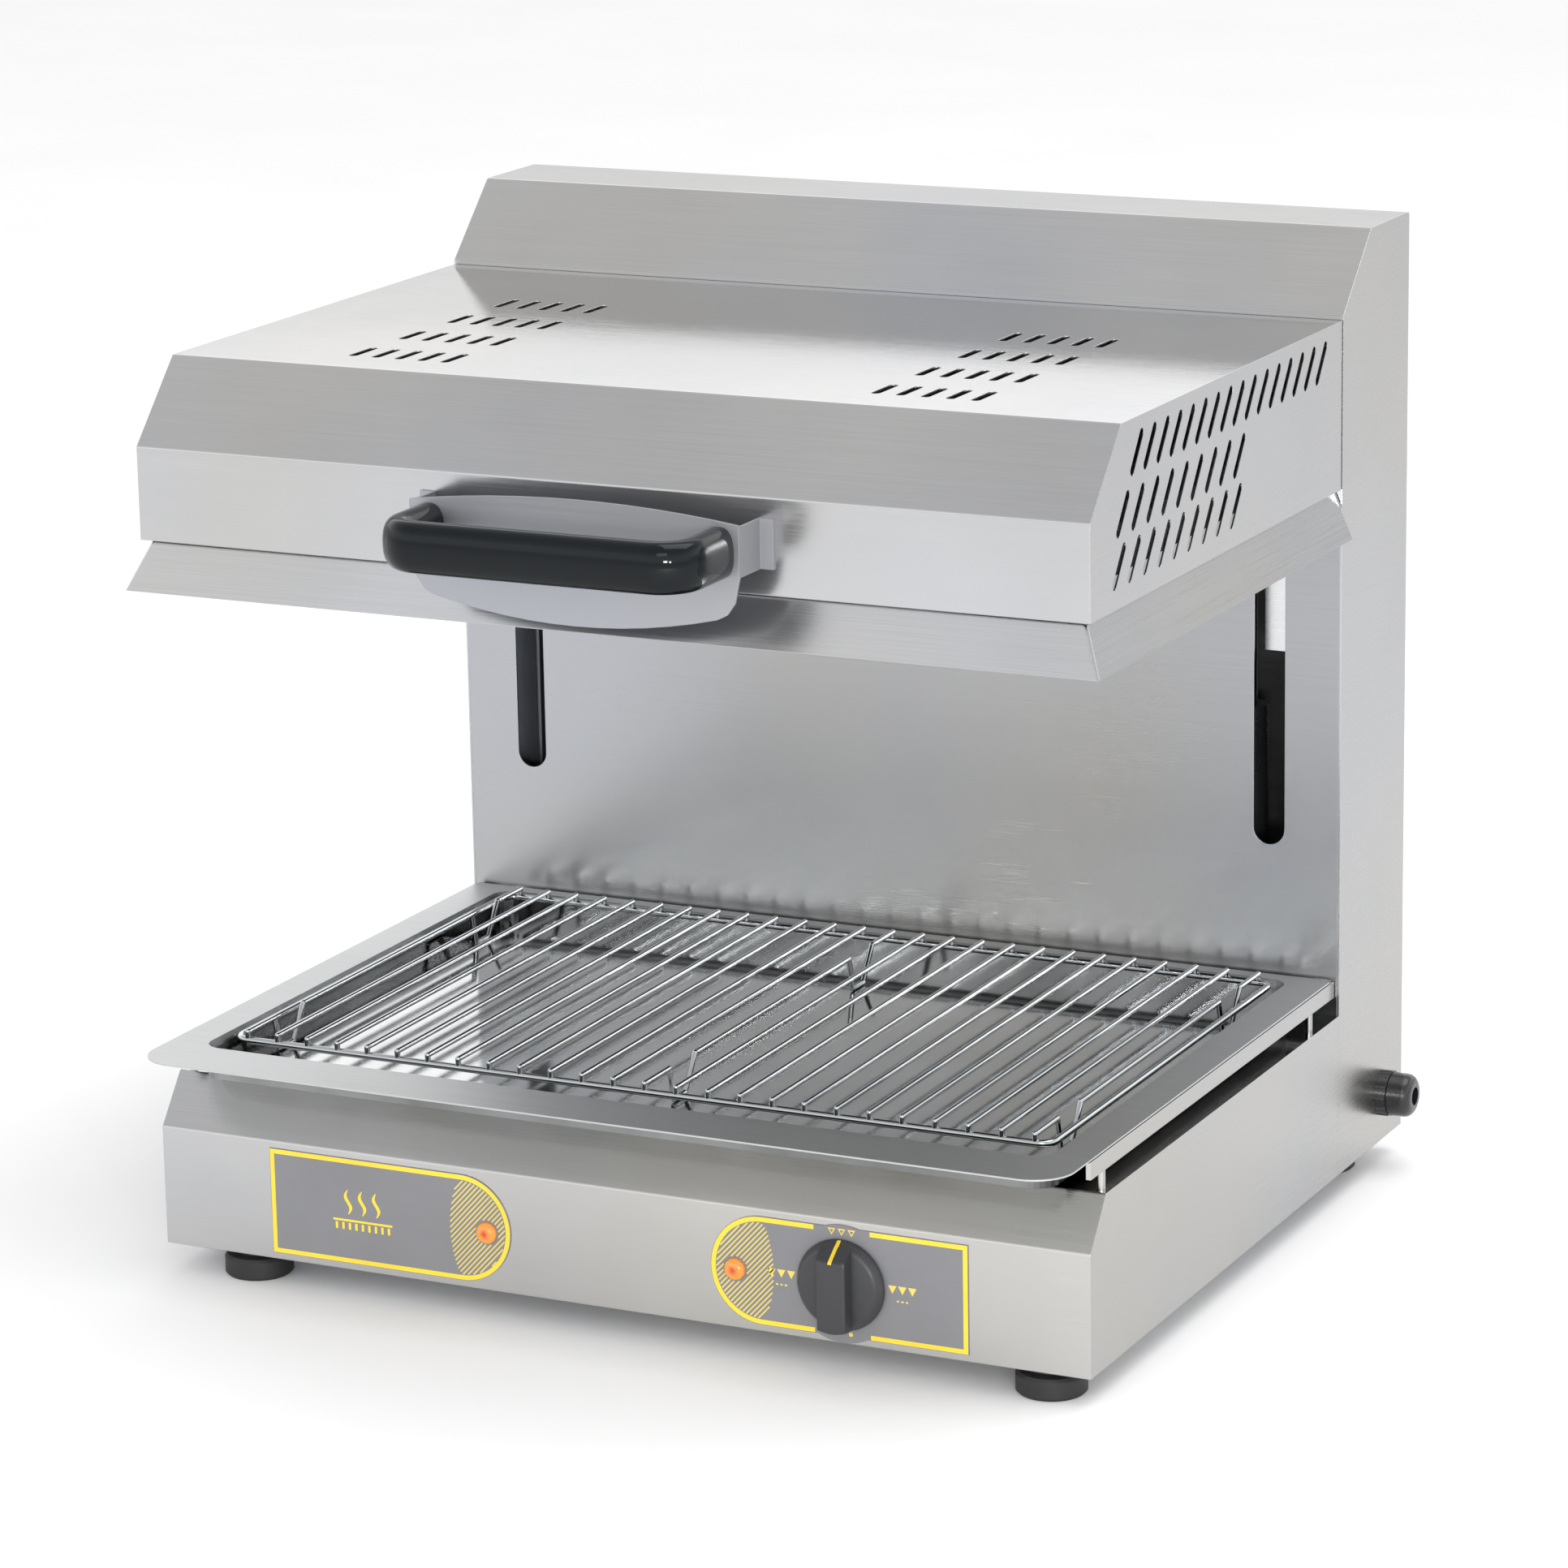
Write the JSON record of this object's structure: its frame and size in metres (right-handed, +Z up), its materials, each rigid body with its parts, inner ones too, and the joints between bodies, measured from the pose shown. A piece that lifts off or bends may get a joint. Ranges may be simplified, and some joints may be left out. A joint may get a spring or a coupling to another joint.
{
  "type": "salamander grill",
  "caption": "Electric counter-top grill with a heated hood that slides up and down on a rear column, over a removable drip tray and wire grid, with a selector knob on the front.",
  "frame": {"origin": "on the surface that the feet stand on, under the middle of the whole object's box", "axes": "+X to the right seen from the front, +Y from the front to the back, +Z up"},
  "size_m": [0.6292, 0.5834, 0.5965],
  "materials": {
    "stainless": "brushed, fine horizontal grain",
    "stainless_back": "plain mill finish",
    "galvanised": "zinc-coated sheet",
    "carriage_steel": "bright sheet",
    "polished_pan": "polished",
    "reflector": "bright, heat-tinted",
    "chromed_wire": "chromed",
    "bright_steel": "plated",
    "foot_rubber": "matt",
    "spring_paint": "semi-gloss",
    "gland_plastic": "glossy",
    "seal_rubber": "matt",
    "label_print": "printed film",
    "amber_lens": "translucent",
    "white_plastic": "moulded",
    "switch_body": "moulded",
    "ceramic": "glazed ceramic",
    "element_sheath": "oxidised alloy sheath",
    "handle_gloss": "glossy",
    "knob_plastic": "moulded"
  },
  "bodies": {
    "root": {"base_shell": "stainless", "base_floor": "galvanised", "foot_front_left": "foot_rubber", "foot_front_right": "foot_rubber", "foot_rear_left": "foot_rubber", "foot_rear_right": "foot_rubber", "foot_studs": "bright_steel", "tray_rail_left": "stainless", "tray_rail_right": "stainless", "column_shell": "stainless", "column_front_panel": "stainless", "column_back_panel": "stainless_back", "back_panel_screws": "bright_steel", "guide_channel_left": "galvanised", "guide_channel_right": "galvanised", "gas_spring_tube_left": "spring_paint", "gas_spring_tube_right": "spring_paint", "spring_anchors": "galvanised", "gland_body": "gland_plastic", "gland_dome_nut": "gland_plastic", "gland_seal": "seal_rubber", "gland_lock_nut": "gland_plastic", "label_left": "label_print", "label_right": "label_print", "pilot_lens_left": "amber_lens", "pilot_lens_right": "amber_lens", "pilot_bodies": "white_plastic", "rotary_switch": "switch_body", "terminal_block": "white_plastic"},
    "hood": {"hood_shell": "stainless", "hood_rear_wall": "galvanised", "hood_reflector": "reflector", "deflector_skirt": "stainless", "heating_element_1": "element_sheath", "heating_element_2": "element_sheath", "heating_element_3": "element_sheath", "heating_element_4": "element_sheath", "element_supports": "galvanised", "element_terminals": "ceramic", "handle_grip": "handle_gloss", "handle_shield": "stainless", "handle_bolts": "bright_steel", "hood_arm_left": "galvanised", "hood_arm_right": "galvanised", "carriage_left": "carriage_steel", "carriage_right": "carriage_steel", "carriage_brace": "galvanised", "roller_axles": "bright_steel", "gas_spring_rod_left": "bright_steel", "gas_spring_rod_right": "bright_steel", "rod_nuts": "bright_steel"},
    "roller_lu": {"roller_left_upper": "white_plastic"},
    "roller_ll": {"roller_left_lower": "white_plastic"},
    "roller_ru": {"roller_right_upper": "white_plastic"},
    "roller_rl": {"roller_right_lower": "white_plastic"},
    "knob": {"selector_knob": "knob_plastic", "selector_spindle": "bright_steel"},
    "tray": {"drip_tray": "polished_pan"},
    "grid": {"wire_grid": "chromed_wire", "grid_feet": "chromed_wire"}
  },
  "joints": [
    {"name": "hood_lift", "type": "slide", "parent": "root", "child": "hood", "axis": [0, 0, 1], "range_m": [-0.222, 0]},
    {"name": "roller_left_upper_spin", "type": "hinge", "parent": "hood", "child": "roller_lu", "pos_m": [-0.27935, 0.2051, 0.515], "axis": [0, 1, 0], "continuous": true},
    {"name": "roller_left_lower_spin", "type": "hinge", "parent": "hood", "child": "roller_ll", "pos_m": [-0.27935, 0.2051, 0.363], "axis": [0, 1, 0], "continuous": true},
    {"name": "roller_right_upper_spin", "type": "hinge", "parent": "hood", "child": "roller_ru", "pos_m": [0.26465, 0.2051, 0.515], "axis": [0, 1, 0], "continuous": true},
    {"name": "roller_right_lower_spin", "type": "hinge", "parent": "hood", "child": "roller_rl", "pos_m": [0.26465, 0.2051, 0.363], "axis": [0, 1, 0], "continuous": true},
    {"name": "selector_turn", "type": "hinge", "parent": "root", "child": "knob", "pos_m": [0.14065, -0.2119, 0.0525], "axis": [0, -1, 0], "continuous": true},
    {"name": "tray_slide", "type": "slide", "parent": "root", "child": "tray", "axis": [0, -1, 0], "range_m": [0, 0.35]},
    {"name": "grid_lift", "type": "slide", "parent": "tray", "child": "grid", "axis": [0, 0, 1], "range_m": [0, 0.04]}
  ],
  "couplings": [
    {"joint": "roller_left_upper_spin", "follows": "hood_lift", "rad_per_m": -83.333},
    {"joint": "roller_left_lower_spin", "follows": "hood_lift", "rad_per_m": -83.333},
    {"joint": "roller_right_upper_spin", "follows": "hood_lift", "rad_per_m": 83.333},
    {"joint": "roller_right_lower_spin", "follows": "hood_lift", "rad_per_m": 83.333}
  ]
}
